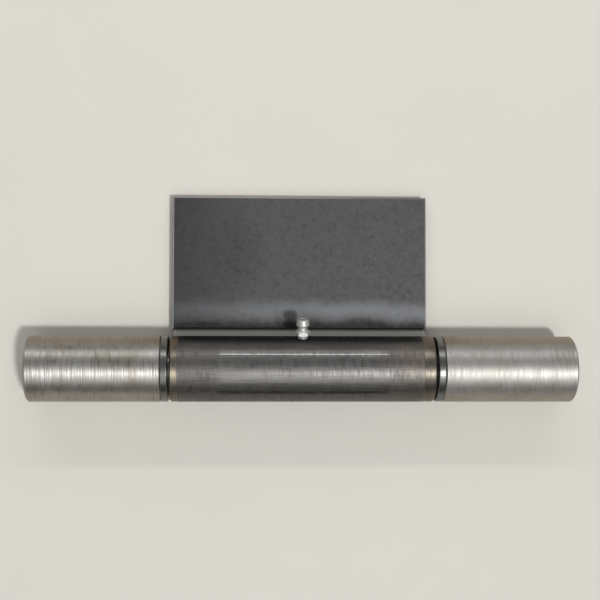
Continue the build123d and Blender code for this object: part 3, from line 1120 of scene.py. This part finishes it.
def bead_rings(sizes, ends, section):
    """Rings of points along a bead, closing in round both of its ends.

    section(sizes, x, fullness) gives the bead's (y, z) points, with a fullness of
    1 away from the ends.
    """
    low, high = ends
    count = int((high - low) / RING_STEP)
    places = [low + (high - low) * i / count for i in range(count + 1)]
    close = [BEAD_END * share for share in (0.02, 0.06, 0.12, 0.2, 0.3)]
    places += [low + reach for reach in close] + [high - reach for reach in close]
    rings = []
    for x in sorted(places):
        inset = min(1.0, min(x - low, high - x) / BEAD_END)
        fullness = 0.55 + 0.45 * math.sqrt(max(0.0, 1 - (1 - inset) ** 2))
        rings.append([(x, y, z) for y, z in section(sizes, x, fullness)])
    return rings


class HINGE_OT_welds(bpy.types.Operator):
    """Build the weld beads along both sides of the joint"""

    bl_idname = "hinge.welds"
    bl_label = "Weld Beads"

    def execute(self, context):
        sizes, colours = chosen(context)
        material = weld_metal_material(colours.weld_metal)
        # The upper bead runs out to the plate's side edges
        upper_ends = (WING_PLATE[0][0] + 0.5 * MM, WING_PLATE[1][0] - 0.5 * MM)
        lower_ends = (LOWER_WELD[0][0], LOWER_WELD[1][0])
        for name, ends, section, node in (
            ("upper_bead", upper_ends, upper_section, "upper_weld"),
            ("lower_bead", lower_ends, lower_section, "lower_weld"),
        ):
            mesh = swept_mesh(name, bead_rings(sizes, ends, section))
            finish_piece(name, mesh, [material], "wing", [node], 50)
        return {"FINISHED"}


# ---- stage

FLOOR_REACH = 10.0
FLOOR_FLAT = 5.0
FLOOR_SWEEP = 0.36
FLOOR_GAP = 0.02 * MM
LAMP_DISTANCE = 0.9
ROOM_BELOW = (0.07, 0.07, 0.07, 1)
ROOM_ABOVE = (0.28, 0.285, 0.29, 1)


def from_above(distance, towards_x, towards_y):
    """A place at a distance, leaning from straight up by the given degrees."""
    slope = Vector((math.tan(radians(towards_x)), math.tan(radians(towards_y)), 1))
    return slope.normalized() * distance


def place_lamp(name, data, place):
    """Sets a lamp at its place, facing the hinge."""
    lamp = bpy.data.objects.new(name, data)
    bpy.context.scene.collection.objects.link(lamp)
    lamp.location = place
    lamp.rotation_euler = (-Vector(place)).to_track_quat("-Z", "Y").to_euler()
    return lamp


def soft_lamp(name, width, depth, lean, radiance):
    """An oblong lamp over the hinge, leaning towards +Y, as bright for its area as given."""
    data = bpy.data.lights.new(name, "AREA")
    data.shape = "RECTANGLE"
    data.size, data.size_y = width, depth
    data.energy = radiance * math.pi * width * depth
    lamp = place_lamp(name, data, from_above(LAMP_DISTANCE, 0, lean))
    lamp.visible_camera = False


def floor_mesh():
    """A wide floor that sweeps up far out, so that a low view meets no dark beyond it."""
    ground = bmesh.new()
    bmesh.ops.create_grid(ground, x_segments=60, y_segments=60, size=FLOOR_REACH)
    for vert in ground.verts:
        sweep = max(0.0, vert.co.length - FLOOR_FLAT) / FLOOR_FLAT
        vert.co.z = FLOOR_Z - FLOOR_GAP + FLOOR_SWEEP * sweep**2
    for face in ground.faces:
        face.smooth = True
    mesh = bpy.data.meshes.new("floor")
    ground.to_mesh(mesh)
    ground.free()
    return mesh


class HINGE_OT_stage(bpy.types.Operator):
    """Set out the floor, the lamps, the room's light and the camera"""

    bl_idname = "hinge.stage"
    bl_label = "Stage"

    def execute(self, context):
        mesh = floor_mesh()
        mesh.materials.append(floor_material(context.scene.hinge_colours.floor))
        floor = bpy.data.objects.new("floor", mesh)
        context.scene.collection.objects.link(floor)

        soft_lamp("Overhead softbox", width=1.2, depth=0.62, lean=-30, radiance=0.85)
        soft_lamp("Strip lamp", width=1.3, depth=0.045, lean=53, radiance=11.0)
        soft_lamp("Side panel", width=1.3, depth=0.22, lean=63, radiance=0.75)
        key = bpy.data.lights.new("Key lamp", "SUN")
        key.angle = radians(6)
        key.energy = 1.7
        place_lamp("Key lamp", key, from_above(1.0, 18, -15))

        # A dim room, lighter overhead
        world = bpy.data.worlds.new("Studio")
        context.scene.world = world
        world.use_nodes = True
        world.node_tree.nodes.clear()
        add = partial(add_node, world.node_tree)
        height = add("SeparateXYZ", {"Vector": add("TexCoord").outputs["Generated"]}).outputs["Z"]
        rise = add("MapRange", {"Value": height, "From Max": 0.9}, **EASED)
        sky = add("Mix", [rise, ROOM_BELOW, ROOM_ABOVE], data_type="RGBA")
        add("OutputWorld", {"Surface": add("Background", {"Color": sky})})

        # The camera looks almost straight down
        data = bpy.data.cameras.new("Camera")
        data.sensor_width = 36.0
        data.lens = 66.47
        data.shift_x = 0.02
        data.clip_start, data.clip_end = 0.01, 20.0
        camera = bpy.data.objects.new("Camera", data)
        context.scene.collection.objects.link(camera)
        camera.location = (-0.0295, 0.01524, 0.53613)
        camera.rotation_euler = [radians(turn) for turn in (1.922, -2.424, 0.127)]
        context.scene.camera = camera
        context.scene.view_settings.view_transform = "Standard"
        return {"FINISHED"}


# ---- add-on

PIECE_OPERATORS = (
    HINGE_OT_outer_barrels, HINGE_OT_pin, HINGE_OT_washers, HINGE_OT_centre_barrel, HINGE_OT_wing_plate,
    HINGE_OT_welds, HINGE_OT_grease_nipple, HINGE_OT_stage,
)


class HINGE_PT_panel(bpy.types.Panel):
    """The hinge's pieces, sizes and colours"""

    bl_idname = "HINGE_PT_panel"
    bl_label = "Barrel Hinge"
    bl_space_type = "VIEW_3D"
    bl_region_type = "UI"
    bl_category = "Barrel Hinge"

    def draw(self, context):
        layout = self.layout
        for operator in PIECE_OPERATORS:
            layout.operator(operator.bl_idname)
        for group in chosen(context):
            box = layout.box()
            for name in group.__annotations__:
                box.prop(group, name)


CLASSES = (HingeSizes, HingeColours, *PIECE_OPERATORS, HINGE_PT_panel)


def register():
    for entry in CLASSES:
        bpy.utils.register_class(entry)
    bpy.types.Scene.hinge_sizes = bpy.props.PointerProperty(type=HingeSizes)
    bpy.types.Scene.hinge_colours = bpy.props.PointerProperty(type=HingeColours)


def unregister():
    del bpy.types.Scene.hinge_colours
    del bpy.types.Scene.hinge_sizes
    for entry in reversed(CLASSES):
        bpy.utils.unregister_class(entry)


def main():
    register()
    bpy.ops.hinge.outer_barrels()
    bpy.ops.hinge.pin()
    bpy.ops.hinge.washers()
    bpy.ops.hinge.centre_barrel()
    bpy.ops.hinge.wing_plate()
    bpy.ops.hinge.welds()
    bpy.ops.hinge.grease_nipple()
    bpy.ops.hinge.stage()


if __name__ == "__main__":
    main()
